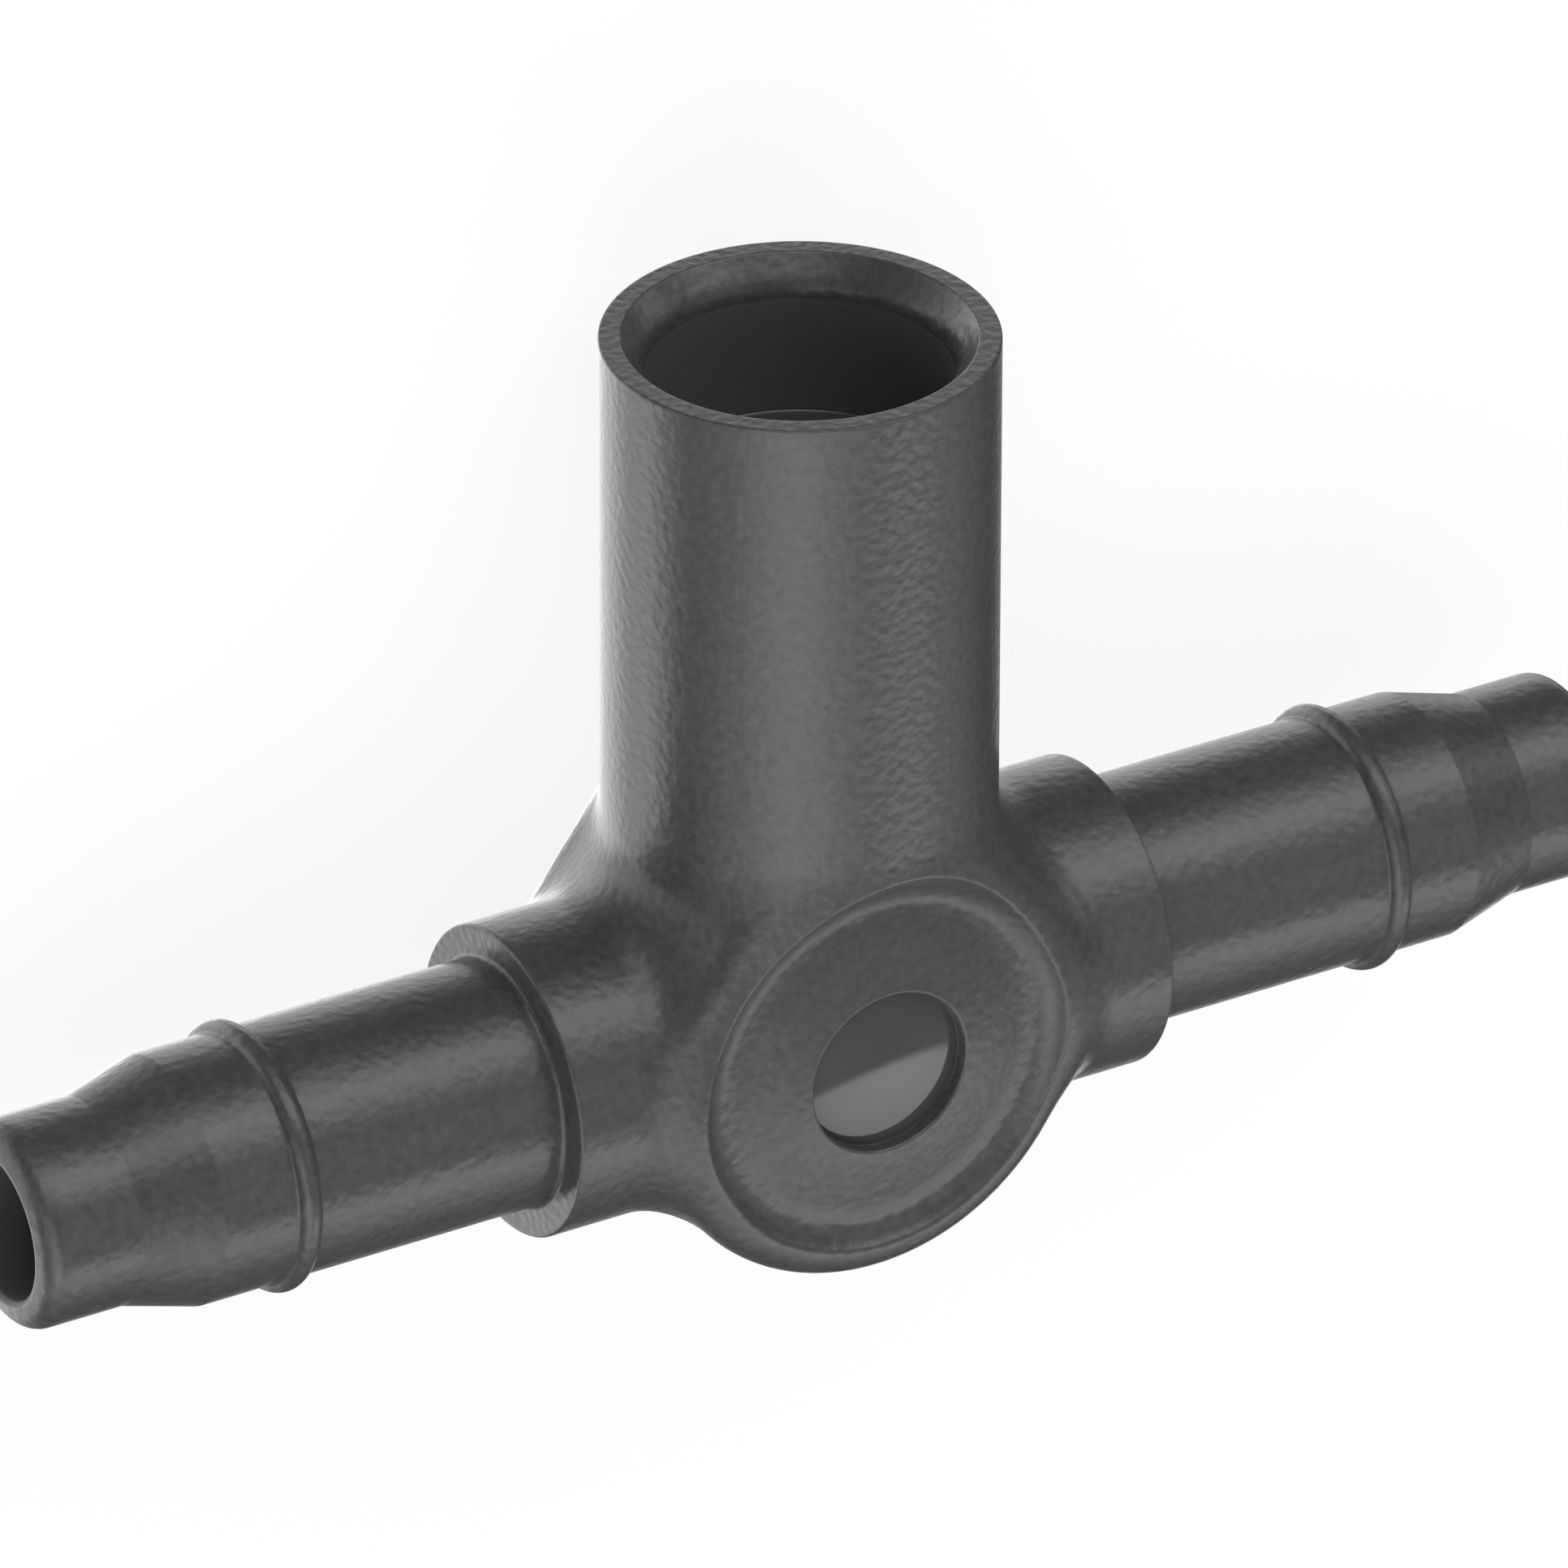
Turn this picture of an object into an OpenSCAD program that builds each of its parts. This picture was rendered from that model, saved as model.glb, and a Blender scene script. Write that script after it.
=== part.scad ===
// Barbed tee for thin drip tubing, moulded in one piece.
// A straight run carries a hose barb at each end. A branch at right angles to it
// ends in a socket. A round boss with two dished faces sits where they cross, and
// soft concave blends join all three.
// The tee lies as it comes to rest: X is the run, Y is the branch, and the boss
// faces up and down. The origin is where the three axes cross. Millimetres.
// The modules make it with the branch along Z and the boss facing -Y and +Y, and
// the node lays it down.

/* [Waterway] */
// Diameter of the waterway through the run
run_bore_d = 2.7; // [2:0.1:3]
// How much narrower the branch's waterway is than the run's, below the socket
branch_bore_less = 0.1; // [0.06:0.02:0.9]

/* [Barbs] */
// Length of the run from tip to tip. The stretches that the tubing grips take up the change
run_length = 33.2; // [28:0.1:40]
// Diameter of the plain stretch that the tubing grips
hose_d = 4.7; // [4.3:0.05:5]
// Distance from the middle of the rib to the start of the taper
rib_setback = 1.7; // [0.6:0.05:2.5]
// Diameter over the rib that bites into the tubing
rib_d = 5.1; // [5.05:0.05:5.5]
// Radius of the rib's round section
rib_radius = 0.22; // [0.15:0.01:0.35]
// Length of the cone that leads the tubing on
taper_length = 1.45; // [0.8:0.05:2.5]
// Diameter of the nose
nose_d = 3.9; // [3.6:0.05:4.2]
// Length of the nose
nose_length = 1.95; // [1:0.05:4]
// Angle by which the nose's end face leans back towards its outside
tip_lean = 14; // [0:1:20]
// Rounding at the outside of the nose's end
nose_round = 0.38; // [0.1:0.02:0.4]
// Rounding at the mouth of the waterway
mouth_round = 0.12; // [0.04:0.02:0.2]

/* [Collars] */
// Diameter of the collars that stop the tubing
collar_d = 5.9; // [5.5:0.05:6.2]
// Distance from the branch's axis to a collar's end face
collar_reach = 6.25; // [6:0.05:8]
// Rounding at the edge of a collar's end face
collar_edge = 0.06; // [0.02:0.01:0.15]
// Fillet where a barb leaves its collar
root_fillet = 0.1; // [0.04:0.01:0.2]

/* [Branch] */
// Height of the branch's rim above the run's axis
branch_height = 13.67; // [11:0.01:20]
// Diameter of the branch
branch_d = 7.26; // [6.9:0.02:7.8]
// Rounding at the outside of the rim
rim_round = 0.04; // [0.02:0.01:0.2]
// Diameter of the socket
socket_d = 5.58; // [5.1:0.02:5.9]
// Depth of the socket, from the rim to its ledge
socket_depth = 3.05; // [1.5:0.05:5]
// Width of the socket's lead-in, across its slope
lead_in_width = 0.43; // [0.1:0.01:0.48]
// Depth of the socket's lead-in
lead_in_depth = 0.54; // [0.1:0.01:1]
// Rounding where the lead-in runs into the socket
lead_in_round = 0.6; // [0.1:0.05:1]

/* [Boss] */
// Diameter of the boss
boss_d = 8.8; // [8.4:0.1:9.4]
// Width of the boss, crest to crest
boss_width = 6.3; // [5.9:0.1:6.8]
// Rounding of the boss's rim
boss_round = 0.7; // [0.4:0.05:0.9]
// Radius of the hollow that dishes the face just inside the rim
dish_radius = 0.66; // [0.4:0.02:0.9]
// Radius of the low dome inside the dish
dome_radius = 9.5; // [7:0.1:14]
// How far the top of the dome would stand past the crest
dome_rise = 0.28; // [0.1:0.02:0.4]
// Diameter of the round recess in the dome
recess_d = 3.2; // [2:0.1:5]
// Depth of the recess's floor below the dome, which it follows
recess_depth = 0.28; // [0.1:0.02:0.9]

/* [Blends] */
// Radius of the blend between the branch and the collars
branch_blend = 1.1; // [0.6:0.05:1.3]
// Radius of the blend between the boss and the rest
boss_blend = 0.76; // [0.4:0.02:0.9]

/* [Hidden] */
$fn = 96;

// How far the blended middle lies inside the round barrels that cover its ends
seam = 0.003;
// How far the barrels reach over the ends of the blended middle
overlap = 0.35;
// How much narrower a barrel starts, so that it comes out of the middle on a slope
lip = 0.03;
// Length by which cutters pass the faces that they cut
clear = 1;
// Share of the wall at the tip that its outside rounding may take
round_share = 0.7;
// Least width left between the two roundings at the tip
least_face = 0.02;
// Share of the lead-in's slope that the rounding at its foot may take
foot_share = 0.8;

// The blends end inside this distance from the centre, along the run and the branch
barrel_start = max(branch_d / 2 + branch_blend, boss_d / 2 + boss_blend);
core_reach = barrel_start + overlap;
// The middle is domed on top, and lies wholly inside the branch by this height
core_top = core_reach + 3 * overlap;
branch_bore_d = run_bore_d - branch_bore_less;

// Stations along a barb
collar_face = collar_reach;
tip = run_length / 2;
taper_end = tip - nose_length;
taper_start = taper_end - taper_length;
rib_at = taper_start - rib_setback;

// The two roundings at the tip share its wall
tip_wall = (nose_d - run_bore_d) / 2;
tip_round = min(nose_round, round_share * tip_wall);
tip_mouth = min(mouth_round, tip_wall - tip_round - least_face);
// Centres of the two roundings, as radius and distance along the run. The end face touches both
face_normal = [sin(tip_lean), cos(tip_lean)];
mouth_centre = [run_bore_d / 2 + tip_mouth, tip - tip_mouth];
round_r = nose_d / 2 - tip_round;
fall = (tip_round - tip_mouth + (round_r - mouth_centre.x) * face_normal.x) / face_normal.y;
round_centre = [round_r, mouth_centre.y - fall];
mouth_touch = mouth_centre + tip_mouth * face_normal;
round_touch = round_centre + tip_round * face_normal;

// Round union of two signed distances: a fillet of radius r where both are near
function round_union(a, b, r) =
    max(r, min(a, b)) - norm([max(r - a, 0), max(r - b, 0)]);

// Signed distances to the three forms that meet in the middle
function collars_at(p) = norm([p.y, p.z]) - (collar_d / 2 - seam);
function branch_at(p) = norm([p.x, p.y, min(p.z, 0)]) - (branch_d / 2 - seam);
function boss_at(p) =
    let (out = norm([p.x, p.z]) - (boss_d / 2 - boss_round),
         side = abs(p.y) - (boss_width / 2 - boss_round))
    norm([max(out, 0), max(side, 0)]) + min(max(out, side), 0) - boss_round;
function middle_at(p) =
    round_union(round_union(collars_at(p), branch_at(p), branch_blend), boss_at(p), boss_blend);

// The surface lies between these two distances from the centre, and is found by halving
search_start = 1;
search_end = 12;
halvings = 20;
function surface_along(d, near, far, steps) =
    steps == 0 ? near :
    let (half = (near + far) / 2)
    middle_at(d * half) < 0 ? surface_along(d, half, far, steps - 1)
                            : surface_along(d, near, half, steps - 1);
// The point along direction d, stopped at the flat ends and the flat top of the middle
function middle_point(d) =
    let (end = abs(d.x) > 0 ? core_reach / abs(d.x) : search_end,
         top = d.z > 0 ? core_top / d.z : search_end)
    d * surface_along(d, search_start, min(end, top, search_end), halvings);

// Rings of directions about the run's axis. The outermost rings lie on the collars' ends
ring_sides = 92;
ring_count = 48;
ring_end = atan(core_reach / (collar_d / 2 - seam));

module blended_middle() {
    rings = [for (i = [0:ring_count])
        let (tilt = -ring_end + 2 * ring_end * i / ring_count)
        [for (j = [0:ring_sides - 1])
            let (turn = 360 * j / ring_sides)
            middle_point([sin(tilt), cos(tilt) * cos(turn), cos(tilt) * sin(turn)])]];
    points = [for (ring = rings) each ring];
    corner = function (i, j) i * ring_sides + j % ring_sides;
    skin = [for (i = [0:ring_count - 1], j = [0:ring_sides - 1], half = [0, 1])
        half == 0 ? [corner(i, j), corner(i + 1, j + 1), corner(i, j + 1)]
                  : [corner(i, j), corner(i + 1, j), corner(i + 1, j + 1)]];
    left_end = [for (j = [0:ring_sides - 1]) corner(0, j)];
    right_end = [for (j = [ring_sides - 1:-1:0]) corner(ring_count, j)];
    polyhedron(points, concat([left_end], skin, [right_end]), convexity = 6);
}

// Outline of a round barrel that comes out of the middle and ends in a rounded edge
module barrel_outline(r, top, edge) {
    polygon([[0, barrel_start], [r - lip, barrel_start], [r, barrel_start + overlap / 2],
             [r, top - edge], [r - edge, top], [0, top]]);
    translate([r - edge, top - edge]) circle(edge, $fn = 48);
}

// Outline of a collar and its barb, radius against distance along the run
module barb_outline() {
    difference() {
        union() {
            barrel_outline(collar_d / 2, collar_face, collar_edge);
            translate([0, collar_face - clear]) square([hose_d / 2, taper_start - collar_face + clear]);
            translate([0, collar_face - clear]) square([hose_d / 2 + root_fillet, clear + root_fillet]);
            polygon([[0, taper_start], [hose_d / 2, taper_start], [nose_d / 2, taper_end], [0, taper_end]]);
            polygon([[0, taper_end], [nose_d / 2, taper_end], [nose_d / 2, round_centre.y],
                     round_centre, round_touch,
                     [0, mouth_touch.y + mouth_touch.x * tan(tip_lean)]]);
            translate(round_centre) circle(tip_round, $fn = 64);
            translate([rib_d / 2 - rib_radius, rib_at]) circle(rib_radius, $fn = 64);
        }
        // the corner between collar and barb, rounded out
        translate([hose_d / 2 + root_fillet, collar_face + root_fillet]) circle(root_fillet, $fn = 48);
    }
}

// Outline of the waterway at a barb's tip, with its rounded mouth
module mouth_outline() {
    difference() {
        polygon([[0, mouth_centre.y], mouth_centre, mouth_touch,
                 [mouth_touch.x, tip + clear], [0, tip + clear]]);
        translate(mouth_centre) circle(tip_mouth, $fn = 48);
    }
}

// The dish: a low dome, then a round hollow that touches it, up to the boss's crest
crest = [boss_d / 2 - boss_round, boss_width / 2];
dome_centre = [0, crest.y + dome_rise - dome_radius];
hollow_centre =
    let (to_crest = crest - dome_centre,
         far = norm(to_crest),
         reach = dome_radius + dish_radius,
         along = (reach * reach - dish_radius * dish_radius + far * far) / (2 * far),
         across = sqrt(reach * reach - along * along),
         unit = to_crest / far)
    dome_centre + along * unit + across * [-unit.y, unit.x];
dome_foot = dome_centre + dome_radius * (hollow_centre - dome_centre) / (dome_radius + dish_radius);
// Past the crest the cut runs on straight, so that it also trims the branch
crest_slope = [hollow_centre.y - crest.y, crest.x - hollow_centre.x] / dish_radius;
trim = crest + 2 * boss_round * crest_slope;

// Outline of what the dish takes away, radius against distance from the run's axis
module dish_outline() {
    difference() {
        polygon([[0, dome_foot.y], dome_foot, crest, trim,
                 [trim.x, trim.y + clear], [0, trim.y + clear]]);
        translate(dome_centre) circle(dome_radius);
    }
    translate(hollow_centre) circle(dish_radius, $fn = 64);
}

module both_faces() {
    for (turn = [90, -90]) rotate([turn, 0, 0]) children();
}

// Outline of the round recess in the dome
module recess_outline() {
    difference() {
        square([recess_d / 2, crest.y + dome_rise + clear]);
        translate(dome_centre) circle(dome_radius - recess_depth);
    }
}

module dishes() {
    both_faces() rotate_extrude() dish_outline();
    both_faces() rotate_extrude() recess_outline();
}

module both_ends() {
    for (side = [90, -90]) rotate([0, side, 0]) children();
}

module barbs() {
    both_ends() rotate_extrude() barb_outline();
}

module branch() {
    rotate_extrude() barrel_outline(branch_d / 2, branch_height, rim_round);
}

// Outline of the socket, its lead-in and the rounding between them
module socket_outline() {
    ledge = branch_height - socket_depth;
    foot = [socket_d / 2, branch_height - lead_in_depth];
    lip_r = socket_d / 2 + lead_in_width;
    slope = atan(lead_in_width / lead_in_depth);
    back = min(lead_in_round * tan(slope / 2), foot_share * norm([lead_in_width, lead_in_depth]));
    foot_round = back / tan(slope / 2);
    polygon([[0, ledge], [foot.x, ledge], foot, [lip_r, branch_height],
             [lip_r, branch_height + clear], [0, branch_height + clear]]);
    difference() {
        polygon([foot - [0, back], foot + back * [sin(slope), cos(slope)], foot]);
        translate(foot + [foot_round, -back]) circle(foot_round);
    }
}

// The run's bore goes right through. The branch's bore runs from it up to the socket
module waterway() {
    rotate([0, 90, 0]) cylinder(d = run_bore_d, h = 2 * (tip + clear), center = true);
    both_ends() rotate_extrude() mouth_outline();
    cylinder(d = branch_bore_d, h = branch_height - socket_depth + clear);
    rotate_extrude() socket_outline();
}

module tee_body() {
    color([0.24, 0.245, 0.24])
    rotate([-90, 0, 0])
    difference() {
        union() {
            blended_middle();
            barbs();
            branch();
        }
        waterway();
        dishes();
    }
}

tee_body();
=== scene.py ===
# Drip tubing tee: one fine skin over the whole moulding, its plastic, and the studio
import bmesh
import bpy
import math
import numpy as np
from mathutils import Matrix, Vector


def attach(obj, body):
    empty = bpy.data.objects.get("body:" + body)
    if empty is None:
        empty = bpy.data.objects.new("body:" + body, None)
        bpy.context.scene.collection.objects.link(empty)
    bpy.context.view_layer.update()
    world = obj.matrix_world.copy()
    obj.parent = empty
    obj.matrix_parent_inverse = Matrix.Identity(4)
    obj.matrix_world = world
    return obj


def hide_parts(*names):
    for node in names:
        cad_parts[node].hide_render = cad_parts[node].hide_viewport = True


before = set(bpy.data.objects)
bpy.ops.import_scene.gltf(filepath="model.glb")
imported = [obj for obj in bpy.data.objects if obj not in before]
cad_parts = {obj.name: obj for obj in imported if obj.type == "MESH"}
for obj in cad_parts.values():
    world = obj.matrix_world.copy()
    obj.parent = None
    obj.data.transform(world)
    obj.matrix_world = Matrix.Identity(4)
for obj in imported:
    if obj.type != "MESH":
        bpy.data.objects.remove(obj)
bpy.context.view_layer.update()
print("frame loaded")

# Everything below is worked out in millimetres, and turned to metres by this factor at the end
metresPerMm = 0.001

# Sizes of the moulding, the same as in the CAD source. The surfaces are worked out with the run
# along X, the branch along Z and the boss facing -Y and +Y, and the mesh is laid down at the end
tee = {
    "runBore": 1.35,
    "branchBore": 1.3,
    "hose": 2.35,
    "collar": 2.95,
    "collarFace": 6.25,
    "collarEdge": 0.06,
    "rootFillet": 0.1,
    "ribMiddle": 11.5,
    "ribHeight": 2.55,
    "ribRadius": 0.22,
    "ribFoot": 0.07,
    "taperStart": 13.2,
    "taperEnd": 14.65,
    "nose": 1.95,
    "tip": 16.6,
    "tipLean": 14.0,
    "noseRound": 0.38,
    "mouthRound": 0.12,
    "branch": 3.63,
    "rim": 13.67,
    "rimRound": 0.04,
    "socket": 2.79,
    "ledge": 10.62,
    "leadInWidth": 0.43,
    "leadInDepth": 0.54,
    "leadInRound": 0.6,
    "boss": 4.4,
    "bossHalf": 3.15,
    "bossRound": 0.7,
    "branchBlend": 1.1,
    "bossBlend": 0.76,
}

# How fine the skin is. The points round a loop, outside and in the bores, are four times a whole
# number, and a band between the two takes four outer points to each inner one. Rows run from the
# middle box's edges to where an arm or a face of the boss starts
skinDensity = {
    "loopPoints": 224,
    "innerPoints": 56,
    "armRows": 26,
    "bossRows": 29,
    "innerRows": 8,
    "rowCrowding": 1.35,
}
loopPoints = skinDensity["loopPoints"]
innerPoints = skinDensity["innerPoints"]

# Rays from the middle are searched between these two distances, halved this many times
raySearch = {"near": 0.5, "far": 14.0, "halvings": 40}


def layDown(points):
    # A quarter turn about the run: the branch goes from +Z to +Y, the boss's front from -Y to +Z
    return np.stack([points[:, 0], points[:, 2], -points[:, 1]], -1)


def unit(vectors):
    # Each vector divided by its length
    return vectors / np.linalg.norm(vectors, axis=-1, keepdims=True)


def roundUnion(a, b, radius):
    # Joins two signed distances with a fillet: the larger of the radius and the nearer distance,
    # less the length of the pair of shortfalls from the radius
    shortA = np.maximum(radius - a, 0)
    shortB = np.maximum(radius - b, 0)
    return np.maximum(radius, np.minimum(a, b)) - np.hypot(shortA, shortB)


def outerDistance(p):
    # Signed distance to the collars, the round-bottomed branch and the rimmed boss, blended
    x, y, z = p[..., 0], p[..., 1], p[..., 2]
    collars = np.hypot(y, z) - tee["collar"]
    below = np.minimum(z, 0)
    branch = np.sqrt(x * x + y * y + below * below) - tee["branch"]
    out = np.hypot(x, z) - (tee["boss"] - tee["bossRound"])
    side = np.abs(y) - (tee["bossHalf"] - tee["bossRound"])
    boss = np.hypot(np.maximum(out, 0), np.maximum(side, 0)) + np.minimum(np.maximum(out, side), 0)
    arms = roundUnion(collars, branch, tee["branchBlend"])
    return roundUnion(arms, boss - tee["bossRound"], tee["bossBlend"])


# Rounding where the two waterways cross
boreBlend = 0.1


def innerDistance(p):
    # Signed distance to the waterways: the run's bore and the branch's bore above it
    x, y, z = p[..., 0], p[..., 1], p[..., 2]
    run = np.hypot(y, z) - tee["runBore"]
    below = np.minimum(z, 0)
    branch = np.sqrt(x * x + y * y + below * below) - tee["branchBore"]
    return roundUnion(run, branch, boreBlend)


def castOut(distance, directions):
    # The point on each ray from the centre where the distance turns positive, by halving
    directions = unit(directions)
    near = np.full(directions.shape[:-1], raySearch["near"])
    far = np.full(directions.shape[:-1], raySearch["far"])
    for step in range(raySearch["halvings"]):
        half = (near + far) / 2
        inside = distance(directions * half[..., None]) < 0
        near = np.where(inside, half, near)
        far = np.where(inside, far, half)
    return directions * near[..., None]


def squareLoop(count):
    # Points round a square from -1 to 1, spaced by equal angles from its centre
    edge = np.tan(np.pi / 4 * np.linspace(-1, 1, count // 4, endpoint=False))
    one = np.ones_like(edge)
    sides = [(one, edge), (-edge, one), (-one, -edge), (edge, -one)]
    return np.concatenate([np.stack(side, -1) for side in sides])


def loopAngles(count):
    # The angles of those points, which also serve for every round loop
    return -np.pi / 4 + 2 * np.pi * np.arange(count) / count


# In-plane axes of each box face, ordered so that their cross product points out of the face
faceAxes = {
    "+x": ((0, 1, 0), (0, 0, 1), (1, 0, 0)),
    "-x": ((0, 0, 1), (0, 1, 0), (-1, 0, 0)),
    "+y": ((0, 0, 1), (1, 0, 0), (0, 1, 0)),
    "-y": ((1, 0, 0), (0, 0, 1), (0, -1, 0)),
    "+z": ((1, 0, 0), (0, 1, 0), (0, 0, 1)),
    "-z": ((0, 1, 0), (1, 0, 0), (0, 0, -1)),
}
# Half sizes of the box whose edges part the six patches of the middle
outerBox = np.array([1.8, 1.0, 1.8])
innerBox = np.array([1.0, 1.0, 1.0])


def axesOf(face):
    # The two axes in the face's plane and the one that points out of it, as arrays
    return [np.array(axis, float) for axis in faceAxes[face]]


def boxEdge(face, box, count):
    # The box's edges round one face, in flat coordinates for a distance of 1 out along its axis
    u, v, out = axesOf(face)
    halfSizes = np.array([box @ np.abs(u), box @ np.abs(v)])
    return squareLoop(count) * halfSizes / (box @ np.abs(out))


def lift(face, flat, depth=1.0):
    # Flat coordinates on a face to points in space, at a distance out along the face's axis
    u, v, out = axesOf(face)
    return flat[..., :1] * u + flat[..., 1:2] * v + np.asarray(depth)[..., None] * out


def ringOf(face, radii, depths, count):
    # Round loops about the face's axis: one row for each pair of a radius and a distance out
    angles = loopAngles(count)
    circle = np.stack([np.cos(angles), np.sin(angles)], -1)
    flat = np.asarray(radii, float)[:, None, None] * circle
    depth = np.repeat(np.asarray(depths, float)[:, None], count, 1)
    return lift(face, flat, depth)


def patchRows(face, distance, box, innerFlat, rows):
    # Rows of surface points from the box's edge to an inner loop, closer together at the end
    edge = boxEdge(face, box, len(innerFlat))
    share = np.linspace(0, 1, rows + 1)
    share = (1 - (1 - share) ** skinDensity["rowCrowding"])[:, None, None]
    flat = edge * (1 - share) + innerFlat * share
    return castOut(distance, lift(face, flat))


# The point that holds the shading beside a rounding stands off by a share of the rounding's reach
# and a little more, but never by more than the most, or this share of the side's free length
profileHold = {"share": 0.5, "more": 0.02, "most": 0.2, "ofFree": 0.4}


def roundedProfile(corners, finest=0.35):
    # A path through (distance, radius, rounding) corners. Each corner becomes an arc that touches
    # both of its sides, in steps of at most the finest angle in radians, with one more point a
    # little way along each side to hold the shading
    places = np.array([corner[:2] for corner in corners], float)
    lengths = np.linalg.norm(np.diff(places, axis=0), axis=1)
    ways = unit(np.diff(places, axis=0))
    turns = np.arccos(np.clip(np.sum(ways[:-1] * ways[1:], -1), -1, 1))
    rounds = np.array([corner[2] for corner in corners[1:-1]], float)
    touches = np.concatenate([[0], rounds * np.tan(turns / 2), [0]])
    free = lengths - touches[:-1] - touches[1:]
    points = [places[0]]
    for k, (turn, rounding) in enumerate(zip(turns, rounds), 1):
        middle = places[k]
        back = -ways[k - 1]
        ahead = ways[k]
        touch = touches[k]
        centre = middle + unit(back + ahead) * rounding / math.cos(turn / 2)
        hold = min(profileHold["share"] * touch + profileHold["more"], profileHold["most"])
        points.append(middle + back * (touch + min(hold, profileHold["ofFree"] * free[k - 1])))
        steps = max(2, math.ceil(turn / finest))
        spread = math.sin(turn)
        start = middle + back * touch - centre
        end = middle + ahead * touch - centre
        for step in range(steps + 1):
            part = step / steps
            first = math.sin((1 - part) * turn) / spread
            second = math.sin(part * turn) / spread
            points.append(centre + first * start + second * end)
        points.append(middle + ahead * (touch + min(hold, profileHold["ofFree"] * free[k])))
    points.append(places[-1])
    return points


# Points nearer to each other than this become one
weldReach = 0.0001


class Skin:
    # Collects grids of points and faces, then welds them into one closed mesh
    def __init__(self):
        self.points = []
        self.faces = []
        self.slots = []
        self.total = 0

    def add(self, points):
        # Keeps the points and gives the number of the first one
        points = np.asarray(points, float).reshape(-1, 3)
        self.points.append(points)
        self.total += len(points)
        return self.total - len(points)

    def loops(self, rows, slot=0):
        # Quads between closed loops that run from the box's edge towards the face's axis
        first = self.add(rows)
        count = rows.shape[1]
        index = first + np.arange(len(rows) * count).reshape(len(rows), count)
        beside = np.roll(index, -1, 1)
        quads = np.stack([index[:-1], beside[:-1], beside[1:], index[1:]], -1).reshape(-1, 4)
        self.faces.extend(quads.tolist())
        self.slots.extend([slot] * len(quads))

    def sheet(self, rows, slot=0, flip=False):
        # Quads of an open grid
        first = self.add(rows)
        index = first + np.arange(rows.shape[0] * rows.shape[1]).reshape(rows.shape[:2])
        quads = np.stack([index[:-1, :-1], index[1:, :-1], index[1:, 1:], index[:-1, 1:]], -1)
        quads = quads.reshape(-1, 4)
        if flip:
            quads = quads[:, ::-1]
        self.faces.extend(quads.tolist())
        self.slots.extend([slot] * len(quads))

    def stepDown(self, fine, coarse, slot=0):
        # A band from a loop of many points to one of a quarter as many
        first = self.add(fine)
        second = self.add(coarse)
        for j in range(len(coarse)):
            face = [first + (4 * j + k) % len(fine) for k in range(5)]
            face += [second + (j + 1) % len(coarse), second + j]
            self.faces.append(face)
            self.slots.append(slot)

    def pole(self, loop, centre, slot=0):
        # Closes a loop on its centre
        first = self.add(loop)
        middle = self.add(centre)
        for j in range(len(loop)):
            self.faces.append([first + j, first + (j + 1) % len(loop), middle])
            self.slots.append(slot)

    def build(self, name, materials):
        # Turned, scaled and welded, then made an object with its materials in order of slot
        mesh = bpy.data.meshes.new(name)
        points = layDown(np.concatenate(self.points)) * metresPerMm
        mesh.from_pydata(points.tolist(), [], self.faces)
        mesh.polygons.foreach_set("material_index", self.slots)
        work = bmesh.new()
        work.from_mesh(mesh)
        bmesh.ops.remove_doubles(work, verts=work.verts, dist=weldReach * metresPerMm)
        work.to_mesh(mesh)
        openEdges = sum(1 for edge in work.edges if not edge.is_manifold)
        volume = work.calc_volume(signed=True) / metresPerMm ** 3
        print(f"{name}: {len(mesh.polygons)} faces, {openEdges} open edges, {volume:.1f} mm3")
        work.free()
        mesh.shade_smooth()
        for material in materials:
            mesh.materials.append(material)
        obj = bpy.data.objects.new(name, mesh)
        bpy.context.scene.collection.objects.link(obj)
        return obj


# Where each part of the barb's and the branch's skin starts, out along the axis, the ledge's two
# loops by radius, and small roundings that only the skin has
arm = {
    "leave": 5.95,
    "fineEnd": 15.9,
    "coarseStart": 15.5,
    "crossing": 2.7,
    "besideRib": 0.6,  # from the rib's middle to the profiles on either side of it
    "ribHold": 0.06,
    "ribFootPoints": 5,
    "ribCrestPoints": 7,
    "taperRound": 0.12,
}
neck = {
    "leave": 7.3,
    "crossing": 2.6,
    "ledgeFine": 2.55,
    "ledgeCoarse": 1.65,
    "lipRound": 0.04,
    "wallFoot": 0.06,
    "boreMouth": 0.05,
}


def ribPoints():
    # The rib: a fillet up from the grip, a round crest, and a fillet down
    rise = tee["hose"] + tee["ribFoot"]
    centre = np.array([tee["ribMiddle"], tee["ribHeight"] - tee["ribRadius"]])
    reach = tee["ribRadius"] + tee["ribFoot"]
    across = math.sqrt(reach ** 2 - (rise - centre[1]) ** 2)
    lean = math.atan2(rise - centre[1], across)
    footCentre = np.array([-across, rise - centre[1]])
    foot = [footCentre + tee["ribFoot"] * np.array([math.sin(a), -math.cos(a)])
            for a in np.linspace(0, math.pi / 2 - lean, arm["ribFootPoints"])]
    crest = [tee["ribRadius"] * np.array([-math.cos(a), math.sin(a)])
             for a in np.linspace(lean, math.pi / 2, arm["ribCrestPoints"])[1:]]
    rising = [foot[0] - np.array([arm["ribHold"], 0])] + foot + crest
    falling = [point * np.array([-1, 1]) for point in rising[::-1][1:]]
    return [centre + point for point in rising + falling]


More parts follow.
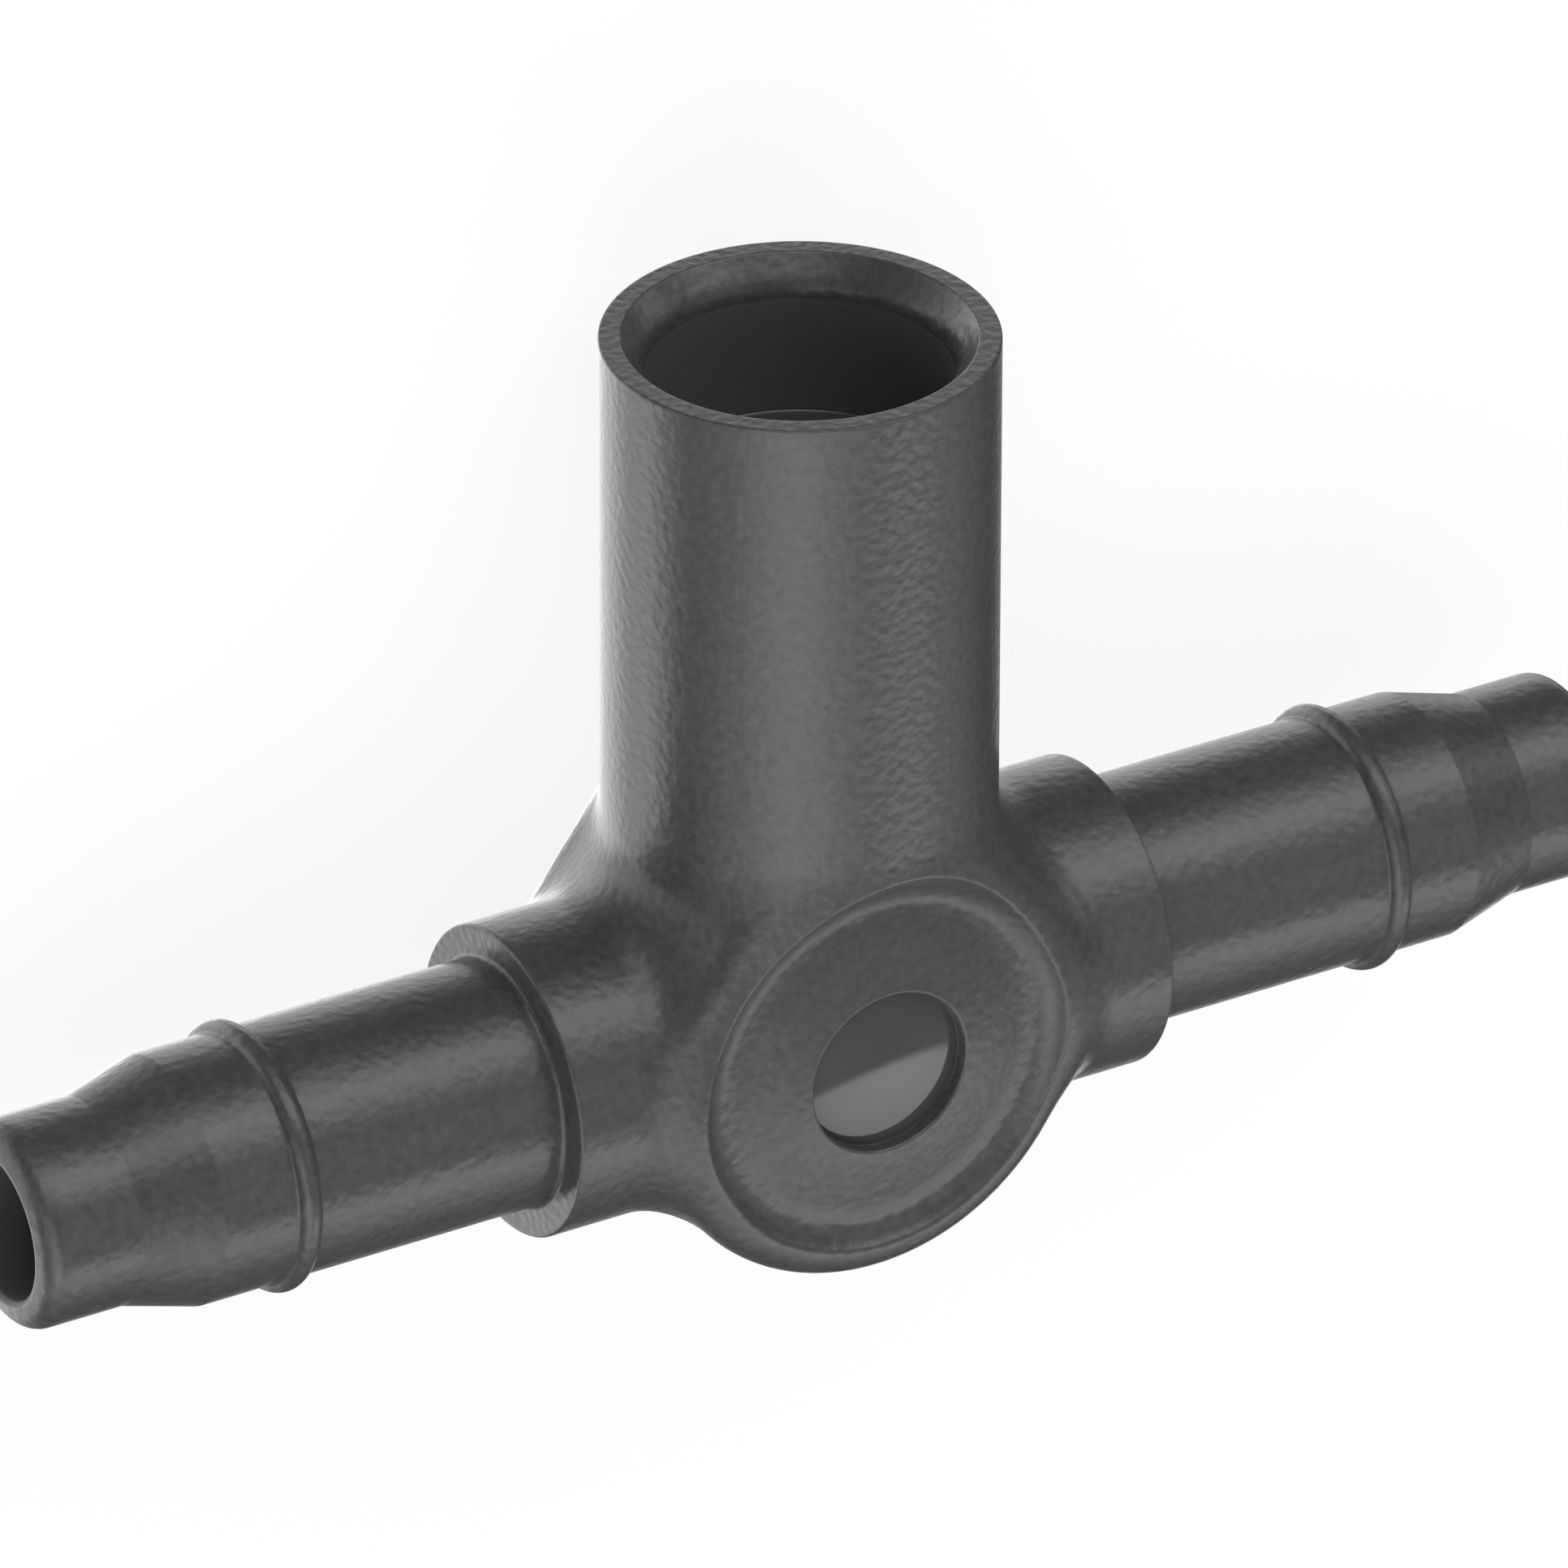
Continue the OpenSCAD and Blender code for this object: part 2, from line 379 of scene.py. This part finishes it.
def barbProfile():
    # Distance along the run against radius, from the collar out over the nose and into the bore.
    # The end face leans back: it touches the mouth's rounding, whose top is the tip, and falls
    # with the tangent of the lean from there to the outside
    t = tee
    lean = math.radians(t["tipLean"])
    mouthTop = t["tip"] - t["mouthRound"] + t["mouthRound"] * (1 + math.sin(lean)) / math.cos(lean)
    noseTop = mouthTop - (t["nose"] - t["runBore"]) * math.tan(lean)
    collar = roundedProfile([
        (arm["leave"], t["collar"], 0),
        (t["collarFace"], t["collar"], t["collarEdge"]),
        (t["collarFace"], t["hose"], t["rootFillet"]),
        (t["ribMiddle"] - arm["besideRib"], t["hose"], 0),
    ])
    nose = roundedProfile([
        (t["ribMiddle"] + arm["besideRib"], t["hose"], 0),
        (t["taperStart"], t["hose"], arm["taperRound"]),
        (t["taperEnd"], t["nose"], arm["taperRound"]),
        (noseTop, t["nose"], t["noseRound"]),
        (mouthTop, t["runBore"], t["mouthRound"]),
        (arm["fineEnd"], t["runBore"], 0),
    ], finest=0.25)
    return np.array(collar + ribPoints() + nose)


def branchProfile():
    # Distance up the branch against radius, from the blends over the rim and down to the ledge
    t = tee
    lip = t["socket"] + t["leadInWidth"]
    return np.array(roundedProfile([
        (neck["leave"], t["branch"], 0),
        (t["rim"], t["branch"], t["rimRound"]),
        (t["rim"], lip, neck["lipRound"]),
        (t["rim"] - t["leadInDepth"], t["socket"], t["leadInRound"]),
        (t["ledge"], t["socket"], neck["wallFoot"]),
        (t["ledge"], neck["ledgeFine"], 0),
    ], finest=0.3))


# The dish in each face of the boss: crest, round hollow, low dome, and a plain round recess.
# The crest's distance out is found between the low and the high travel up the slope
dish = {
    "crest": np.array([3.7, 3.15]),
    "hollow": 0.66,
    "dome": 9.5,
    "rise": 0.28,
    "recess": 1.6,
    "recessDepth": 0.28,
    "crestRound": 0.06,
    "ease": 0.45,
    "easeStart": 0.1,
    "easeSamples": 81,
    "edgeRound": 0.05,
    "footRound": 0.008,
    "land": 0.12,
    "floorRing": 1.4,
    "poleRing": 0.2,
    "lowTravel": -0.02,
    "highTravel": 1.2,
    "leastSlope": -0.05,
    "outwardStep": 0.05,
    "crestRows": 6,
    "slopeRows": 17,
    "easeRows": 7,
    "domeRows": 4,
    "floorRows": 6,
}


def dishForm():
    # Centre of the dome's arc, centre of the hollow's arc, and where the two arcs touch.
    # The hollow passes through the crest, so both its distances are known and two circles meet there
    crest = dish["crest"]
    domeCentre = np.array([0, crest[1] + dish["rise"] - dish["dome"]])
    far = np.linalg.norm(crest - domeCentre)
    reach = dish["dome"] + dish["hollow"]
    along = (reach ** 2 - dish["hollow"] ** 2 + far ** 2) / (2 * far)
    across = math.sqrt(reach ** 2 - along ** 2)
    ahead = (crest - domeCentre) / far
    hollowCentre = domeCentre + along * ahead + across * np.array([-ahead[1], ahead[0]])
    foot = domeCentre + dish["dome"] * unit(hollowCentre - domeCentre)
    slope = np.array([hollowCentre[1] - crest[1], crest[0] - hollowCentre[0]]) / dish["hollow"]
    return domeCentre, hollowCentre, foot, slope


def crestLoop(face, slope):
    # Where the dish's straight slope leaves the blended surface, at each angle round the face
    angles = loopAngles(loopPoints)
    circle = np.stack([np.cos(angles), np.sin(angles)], -1)
    low = np.full(loopPoints, dish["lowTravel"])
    high = np.full(loopPoints, dish["highTravel"])
    for step in range(raySearch["halvings"]):
        half = (low + high) / 2
        radius = dish["crest"][0] + half * slope[0]
        depth = dish["crest"][1] + half * slope[1]
        inside = outerDistance(lift(face, circle * radius[:, None], depth)) < 0
        low = np.where(inside, half, low)
        high = np.where(inside, high, half)
    return low, circle


def easedDepth(radius, domeCentre, hollowCentre, foot):
    # Distance out along the boss's axis to the dome, plus what the hollow rises above the dome's
    # ball. That is averaged over a span of radius which grows inwards from nothing near the crest,
    # with weights of 1 - t squared across the span, so that one runs softly into the other
    radius = np.asarray(radius, float)
    span = np.clip(dish["crest"][0] - dish["easeStart"] - radius, 0, dish["ease"])
    steps = np.linspace(-1, 1, dish["easeSamples"])
    near = radius[..., None] + span[..., None] * steps
    across = np.minimum(np.abs(near - hollowCentre[0]), dish["hollow"])
    hollow = hollowCentre[1] - np.sqrt(dish["hollow"] ** 2 - across ** 2)
    ball = domeCentre[1] + np.sqrt(dish["dome"] ** 2 - near ** 2)
    rise = np.average(np.where(near > foot[0], hollow - ball, 0), axis=-1, weights=1 - steps ** 2)
    return domeCentre[1] + np.sqrt(dish["dome"] ** 2 - radius ** 2) + rise


def dishRows(face, travel, circle, slope, domeCentre, hollowCentre, foot):
    # Rows down the dish: along the slope and round the hollow to the dome's foot
    start = math.atan2(*(dish["crest"] - hollowCentre)[::-1])
    end = math.atan2(*(foot - hollowCentre)[::-1])
    sweep = (end - start) % (-2 * math.pi)
    bend = abs(sweep) * dish["hollow"]
    rows = []
    left = np.maximum(travel - dish["crestRound"], dish["leastSlope"])
    for share in np.linspace(0, 1, dish["slopeRows"]):
        gone = share * (left + bend)
        onSlope = gone < left
        angle = start + sweep * np.clip((gone - left) / bend, 0, 1)
        radius = np.where(onSlope, dish["crest"][0] + (left - gone) * slope[0],
                          hollowCentre[0] + dish["hollow"] * np.cos(angle))
        depth = np.where(onSlope, dish["crest"][1] + (left - gone) * slope[1],
                         easedDepth(radius, domeCentre, hollowCentre, foot))
        rows.append(lift(face, circle * radius[:, None], depth))
    return np.array(rows)


def domeDepth(radius, domeCentre, below=0.0):
    # Distance out along the boss's axis to the dome, or to the ball that lies below it
    return domeCentre[1] + math.sqrt((dish["dome"] - below) ** 2 - radius ** 2)


def bossFace(skin, face):
    # One face of the boss: the outside up to the crest, its rounded edge, the dish and the recess
    domeCentre, hollowCentre, foot, slope = dishForm()
    travel, circle = crestLoop(face, slope)
    radius = dish["crest"][0] + travel * slope[0]
    depth = dish["crest"][1] + travel * slope[1]
    crest = lift(face, circle * radius[:, None], depth)
    out = axesOf(face)[2]
    away = unit(crest - (crest @ out)[:, None] * out)
    outward = castOut(outerDistance, crest + dish["outwardStep"] * away)
    shoulder = castOut(outerDistance, crest + dish["crestRound"] * unit(outward - crest))
    inner = np.stack([shoulder @ axesOf(face)[0], shoulder @ axesOf(face)[1]], -1)
    inner /= (shoulder @ out)[:, None]
    skin.loops(patchRows(face, outerDistance, outerBox, inner, skinDensity["bossRows"]))
    down = dishRows(face, travel, circle, slope, domeCentre, hollowCentre, foot)
    edge = [(1 - s) ** 2 * shoulder + 2 * s * (1 - s) * crest + s ** 2 * down[0]
            for s in np.linspace(0, 1, dish["crestRows"])]
    skin.loops(np.array(edge))
    skin.loops(down)
    easeEnd = foot[0] - dish["ease"]
    land = dish["recess"] + dish["land"]
    radii = np.concatenate([np.linspace(foot[0], easeEnd, dish["easeRows"]),
                            np.linspace(easeEnd, land, dish["domeRows"])[1:]])
    skin.loops(ringOf(face, radii, easedDepth(radii, domeCentre, hollowCentre, foot), loopPoints))
    below = dish["recessDepth"]
    profile = np.array(roundedProfile([
        (domeDepth(land, domeCentre), land, 0),
        (domeDepth(dish["recess"], domeCentre), dish["recess"], dish["edgeRound"]),
        (domeDepth(dish["recess"], domeCentre, below), dish["recess"], dish["footRound"]),
        (domeDepth(dish["floorRing"], domeCentre, below), dish["floorRing"], 0),
    ]))
    # The wall's finish ends where the foot's rounding has left the wall by a tenth of its radius
    wallEnd = int(np.argmax(profile[:, 1] < dish["recess"] - 0.1 * dish["footRound"]))
    skin.loops(ringOf(face, profile[:wallEnd, 1], profile[:wallEnd, 0], loopPoints))
    skin.loops(ringOf(face, profile[wallEnd - 1:, 1], profile[wallEnd - 1:, 0], loopPoints), 1)
    radii = np.linspace(dish["floorRing"], dish["poleRing"], dish["floorRows"])
    floor = ringOf(face, radii, [domeDepth(r, domeCentre, below) for r in radii], loopPoints)
    skin.loops(floor, 1)
    skin.pole(floor[-1], out * domeDepth(0, domeCentre, below), 1)


def roundFlat(face, radius, depth, count):
    # Flat coordinates of a circle about the face's axis
    angles = loopAngles(count)
    return radius / depth * np.stack([np.cos(angles), np.sin(angles)], -1)


def fillFace(skin, face, distance, box, count, slot, flip):
    # A whole box face, spaced by equal angles so that its edges meet its neighbours' points
    u, v, out = axesOf(face)
    steps = np.tan(np.pi / 4 * np.linspace(-1, 1, count // 4 + 1))
    p, q = np.meshgrid(steps * (box @ np.abs(u)), steps * (box @ np.abs(v)), indexing="ij")
    flat = np.stack([p, q], -1) / (box @ np.abs(out))
    skin.sheet(castOut(distance, lift(face, flat)), slot, flip)


# Radii that differ by less than this count as the same
hair = 0.001


def buildSkin(materials):
    # The middle's six patches with the arms and faces that leave them, and the waterways' own six.
    # Slot 0 is grained, slot 1 polished, and slot 2 what the pins form, painted lighter to lift the
    # shade inside the waterways
    skin = Skin()
    profile = barbProfile()
    for face in ("+x", "-x"):
        leave = roundFlat(face, tee["collar"], arm["leave"], loopPoints)
        skin.loops(patchRows(face, outerDistance, outerBox, leave, skinDensity["armRows"]))
        mouth = int(np.argmax(profile[:, 1] < tee["runBore"] + tee["mouthRound"]))
        rows = ringOf(face, profile[:, 1], profile[:, 0], loopPoints)
        skin.loops(rows[:mouth + 1])
        skin.loops(rows[mouth:], 2)
        fine = ringOf(face, [tee["runBore"]], [arm["fineEnd"]], loopPoints)[0]
        coarse = ringOf(face, [tee["runBore"]] * 2, [arm["coarseStart"], arm["crossing"]], innerPoints)
        skin.stepDown(fine, coarse[0], 2)
        skin.loops(coarse, 2)
        meet = roundFlat(face, tee["runBore"], arm["crossing"], innerPoints)
        inner = patchRows(face, innerDistance, innerBox, meet, skinDensity["innerRows"])
        skin.loops(inner[::-1], 2)
    leave = roundFlat("+z", tee["branch"], neck["leave"], loopPoints)
    skin.loops(patchRows("+z", outerDistance, outerBox, leave, skinDensity["armRows"]))
    profile = branchProfile()
    wall = int(np.argmax(profile[:, 1] < tee["socket"] + hair))
    ledge = int(np.argmax(profile[:, 1] < tee["socket"] - hair))
    rows = ringOf("+z", profile[:, 1], profile[:, 0], loopPoints)
    skin.loops(rows[:wall + 1])
    skin.loops(rows[wall:ledge], 2)
    skin.loops(rows[ledge - 1:], 1)
    fine = ringOf("+z", [neck["ledgeFine"]], [tee["ledge"]], loopPoints)[0]
    down = np.array(roundedProfile([
        (tee["ledge"], neck["ledgeCoarse"], 0),
        (tee["ledge"], tee["branchBore"], neck["boreMouth"]),
        (neck["crossing"], tee["branchBore"], 0),
    ]))
    coarse = ringOf("+z", down[:, 1], down[:, 0], innerPoints)
    skin.stepDown(fine, coarse[0], 1)
    skin.loops(coarse, 2)
    meet = roundFlat("+z", tee["branchBore"], neck["crossing"], innerPoints)
    inner = patchRows("+z", innerDistance, innerBox, meet, skinDensity["innerRows"])
    skin.loops(inner[::-1], 2)
    for face in ("+y", "-y"):
        bossFace(skin, face)
    fillFace(skin, "-z", outerDistance, outerBox, loopPoints, 0, False)
    for face in ("+y", "-y", "-z"):
        fillFace(skin, face, innerDistance, innerBox, innerPoints, 2, True)
    return skin.build("teeMoulding", materials)


def toLinear(hexColour):
    # The colour that the hex digits name, from sRGB to linear
    channels = [int(hexColour[k:k + 2], 16) / 255 for k in (0, 2, 4)]
    return [c / 12.92 if c <= 0.04045 else ((c + 0.055) / 1.055) ** 2.4 for c in channels] + [1.0]


def addNode(tree, kind, settings=None, links=None):
    # A new node with its settings made and its inputs linked or set
    node = tree.nodes.new(kind)
    for name, value in (settings or {}).items():
        setattr(node, name, value)
    for name, value in (links or {}).items():
        socket = node.inputs[name]
        if isinstance(value, bpy.types.NodeSocket):
            tree.links.new(value, socket)
        else:
            socket.default_value = value
    return node


def perMetre(sizeMm):
    # A texture's scale, from the size in millimetres of one of its features
    return 1 / (sizeMm * metresPerMm)


# The plastic's finishes. Colours are sRGB hex, feature sizes and bump depths in millimetres
plastic = {
    "grain": {"pebble": 0.19, "depth": 0.0145, "detail": 0.7, "roughness": 0.3},
    "mottle": {"size": 0.18, "detail": 2.0, "dark": "2f312f", "light": "4d4f4d"},
    "polished": {"colour": "3e403e", "roughness": 0.06},
    # The pin-drawn colour is lighter than the grained plastic's: painted light in the shaded bores and
    # socket
    "pinDrawnPaintedLight": {"colour": "4a4c4a", "roughness": 0.55, "speck": 0.05, "depth": 0.01, "strength": 0.5},
}


def grainedPlastic():
    # Charcoal plastic moulded against a spark-eroded cavity: fine soft pebbles
    material = bpy.data.materials.new("charcoalPlasticGrained")
    material.use_nodes = True
    tree = material.node_tree
    shader = tree.nodes["Principled BSDF"]
    place = addNode(tree, "ShaderNodeTexCoord").outputs["Object"]
    grain = plastic["grain"]
    pebble = addNode(tree, "ShaderNodeTexNoise", links={
        "Vector": place, "Scale": perMetre(grain["pebble"]), "Detail": grain["detail"]})
    bump = addNode(tree, "ShaderNodeBump", links={
        "Height": pebble.outputs["Fac"], "Strength": 1.0, "Distance": grain["depth"] * metresPerMm})
    tree.links.new(bump.outputs["Normal"], shader.inputs["Normal"])
    mottle = plastic["mottle"]
    cloud = addNode(tree, "ShaderNodeTexNoise", links={
        "Vector": place, "Scale": perMetre(mottle["size"]), "Detail": mottle["detail"]})
    tone = addNode(tree, "ShaderNodeMix", {"data_type": "RGBA"}, {"Factor": cloud.outputs["Fac"]})
    tone.inputs["A"].default_value = toLinear(mottle["dark"])
    tone.inputs["B"].default_value = toLinear(mottle["light"])
    tree.links.new(tone.outputs["Result"], shader.inputs["Base Color"])
    shader.inputs["Roughness"].default_value = grain["roughness"]
    return material


def polishedPlastic():
    # The same plastic against polished steel: the recesses' floors and the ledge
    material = bpy.data.materials.new("charcoalPlasticPolished")
    material.use_nodes = True
    shader = material.node_tree.nodes["Principled BSDF"]
    shader.inputs["Base Color"].default_value = toLinear(plastic["polished"]["colour"])
    shader.inputs["Roughness"].default_value = plastic["polished"]["roughness"]
    return material


def borePaintedLightPlastic():
    # The same plastic dulled by the pins that form the waterways, with a colour lighter than the grained
    # plastic's: painted light that lifts the deep shade inside the bores and the socket
    material = bpy.data.materials.new("charcoalPlasticPinDrawnPaintedLight")
    material.use_nodes = True
    tree = material.node_tree
    shader = tree.nodes["Principled BSDF"]
    place = addNode(tree, "ShaderNodeTexCoord").outputs["Object"]
    drawnPaintedLight = plastic["pinDrawnPaintedLight"]
    speck = addNode(tree, "ShaderNodeTexNoise", links={
        "Vector": place, "Scale": perMetre(drawnPaintedLight["speck"])})
    bump = addNode(tree, "ShaderNodeBump", links={
        "Height": speck.outputs["Fac"], "Strength": drawnPaintedLight["strength"],
        "Distance": drawnPaintedLight["depth"] * metresPerMm})
    tree.links.new(bump.outputs["Normal"], shader.inputs["Normal"])
    # A lighter colour than the grained plastic: painted light against the shade in the bores and the
    # socket
    shader.inputs["Base Color"].default_value = toLinear(drawnPaintedLight["colour"])
    shader.inputs["Roughness"].default_value = drawnPaintedLight["roughness"]
    return material


teeMoulding = buildSkin([grainedPlastic(), polishedPlastic(), borePaintedLightPlastic()])
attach(teeMoulding, "root")
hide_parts("tee_body")
print("moulding made")

# Camera: angles in degrees, distances and the lens in millimetres, found from the photo's outlines
cameraPlace = {
    "azimuth": -138.442,
    "elevation": 48.631,
    "roll": 130.330,
    "distance": 323.22,
    "right": -0.270,
    "up": 3.840,
    "lens": 405.69,
    "sensor": 36,
    "clipStart": 10,
    "clipEnd": 10000,
}


def makeCamera():
    # Right, up and back axes from azimuth and elevation, then a turn about the view
    azimuth = math.radians(cameraPlace["azimuth"])
    elevation = math.radians(cameraPlace["elevation"])
    roll = math.radians(cameraPlace["roll"])
    right = Vector((math.cos(azimuth), math.sin(azimuth), 0))
    back = Vector((math.sin(azimuth) * math.cos(elevation),
                   -math.cos(azimuth) * math.cos(elevation), math.sin(elevation)))
    up = back.cross(right)
    rolledRight = right * math.cos(roll) + up * math.sin(roll)
    rolledUp = up * math.cos(roll) - right * math.sin(roll)
    place = (rolledRight * cameraPlace["right"] + rolledUp * cameraPlace["up"]
             + back * cameraPlace["distance"]) * metresPerMm
    data = bpy.data.cameras.new("photoCamera")
    data.sensor_width = cameraPlace["sensor"]
    data.lens = cameraPlace["lens"]
    data.clip_start = cameraPlace["clipStart"] * metresPerMm
    data.clip_end = cameraPlace["clipEnd"] * metresPerMm
    camera = bpy.data.objects.new("photoCamera", data)
    turn = Matrix((rolledRight, rolledUp, back)).transposed().to_4x4()
    camera.matrix_world = Matrix.Translation(place) @ turn
    bpy.context.scene.collection.objects.link(camera)
    bpy.context.scene.camera = camera


makeCamera()

# The studio's surroundings: a dim room with soft lamps, each given by the azimuth and elevation of
# its middle, the angle from there at which it fades to half, all in degrees, and its brightness.
# The panel is a lamp of the same kind, cut off by a sharper edge round a middle of its own
studio = {
    "floorLevel": -3.65,
    "floorSize": 1200.0,
    "floorShade": 0.12,
    "room": 0.08,
    "panelEdge": {"azimuth": -71.9, "elevation": 21.7, "inside": 31.5, "outside": 34.0},
    "panelGlow": (-45, 51, 22, 2.7),
    "lamps": [
        (10, 62, 15, 0.8),
        (172, 49, 11, 1.8),
        (-131, 45, 25, 2.7),
        (60, 25, 16, 3.4),
        (-33, 24, 17, 0.6),
        (102, 23, 16, 2.7),
        (175, 20, 9, 1.5),
        (-141, 6, 10, 0.4),
        (20, 4, 9, 1.7),
        (-140, -30, 10, 2.9),
        (-48, -36, 7, 1.5),
        (176, -36, 20, 1.7),
        (22, -57, 13, 1.6),
        (-110, -57, 16, 2.1),
        (-58, -63, 8, 3.2),
        (-35, -67, 8, 2.4),
        (136, -76, 19, 2.5),
    ],
}


def makeFloor():
    # A wide white sheet under the tee, hidden from the tee itself. To the camera it shines at 1,
    # which is white, apart from a small share of plain paper that takes the tee's shade
    mesh = bpy.data.meshes.new("studioFloor")
    half = studio["floorSize"] / 2 * metresPerMm
    level = studio["floorLevel"] * metresPerMm
    corners = [(-half, -half, level), (half, -half, level), (half, half, level), (-half, half, level)]
    mesh.from_pydata(corners, [], [(0, 1, 2, 3)])
    floor = bpy.data.objects.new("studioFloor", mesh)
    bpy.context.scene.collection.objects.link(floor)
    material = bpy.data.materials.new("whitePaperFloor")
    material.use_nodes = True
    tree = material.node_tree
    shader = tree.nodes["Principled BSDF"]
    shader.inputs["Base Color"].default_value = toLinear("ffffff")
    shader.inputs["Roughness"].default_value = 1.0
    shader.inputs["Specular IOR Level"].default_value = 0.0
    shine = addNode(tree, "ShaderNodeEmission", links={"Strength": 1.0})
    both = addNode(tree, "ShaderNodeMixShader", links={"Fac": studio["floorShade"]})
    tree.links.new(shine.outputs["Emission"], both.inputs[1])
    tree.links.new(shader.outputs["BSDF"], both.inputs[2])
    tree.links.new(both.outputs["Shader"], tree.nodes["Material Output"].inputs["Surface"])
    mesh.materials.append(material)
    floor.visible_diffuse = False
    floor.visible_glossy = False
    floor.visible_shadow = False


def angleFrom(tree, direction, azimuth, elevation):
    # The cosine of the angle between a direction and the one that azimuth and elevation give
    middle = (math.cos(math.radians(elevation)) * math.cos(math.radians(azimuth)),
              math.cos(math.radians(elevation)) * math.sin(math.radians(azimuth)),
              math.sin(math.radians(elevation)))
    return addNode(tree, "ShaderNodeVectorMath", {"operation": "DOT_PRODUCT"},
                   {0: direction, 1: middle}).outputs["Value"]


def softLamp(tree, direction, azimuth, elevation, halfWidth, brightness):
    # Brightness times e to the power of k(cos a - 1), where a is the angle from the lamp's middle
    # and k makes the power one half at the half width
    sharpness = math.log(2) / (1 - math.cos(math.radians(halfWidth)))
    cosine = angleFrom(tree, direction, azimuth, elevation)
    power = addNode(tree, "ShaderNodeMath", {"operation": "MULTIPLY_ADD"},
                    {0: cosine, 1: sharpness, 2: -sharpness})
    fade = addNode(tree, "ShaderNodeMath", {"operation": "EXPONENT"}, {0: power.outputs[0]})
    lit = addNode(tree, "ShaderNodeMath", {"operation": "MULTIPLY"}, {0: fade.outputs[0], 1: brightness})
    return lit.outputs[0]


def makeWorld():
    # The dim room, the sharp-edged panel and every soft lamp. The camera itself sees plain white
    world = bpy.data.worlds.new("studioWorld")
    bpy.context.scene.world = world
    world.use_nodes = True
    tree = world.node_tree
    direction = addNode(tree, "ShaderNodeTexCoord").outputs["Generated"]
    edge = studio["panelEdge"]
    within = addNode(tree, "ShaderNodeMapRange", {"interpolation_type": "SMOOTHSTEP"}, {
        "Value": angleFrom(tree, direction, edge["azimuth"], edge["elevation"]),
        "From Min": math.cos(math.radians(edge["outside"])),
        "From Max": math.cos(math.radians(edge["inside"])),
    })
    total = addNode(tree, "ShaderNodeMath", {"operation": "MULTIPLY_ADD"}, {
        0: softLamp(tree, direction, *studio["panelGlow"]),
        1: within.outputs["Result"], 2: studio["room"]}).outputs[0]
    for lamp in studio["lamps"]:
        total = addNode(tree, "ShaderNodeMath", {"operation": "ADD"},
                        {0: total, 1: softLamp(tree, direction, *lamp)}).outputs[0]
    seen = addNode(tree, "ShaderNodeLightPath").outputs["Is Camera Ray"]
    strength = addNode(tree, "ShaderNodeMix", {"data_type": "FLOAT"},
                       {"Factor": seen, "A": total, "B": 1.0})
    tree.links.new(strength.outputs["Result"], tree.nodes["Background"].inputs["Strength"])
    tree.nodes["Background"].inputs["Color"].default_value = toLinear("ffffff")


makeFloor()
makeWorld()
bpy.context.scene.view_settings.view_transform = "Standard"
print("camera and studio made")
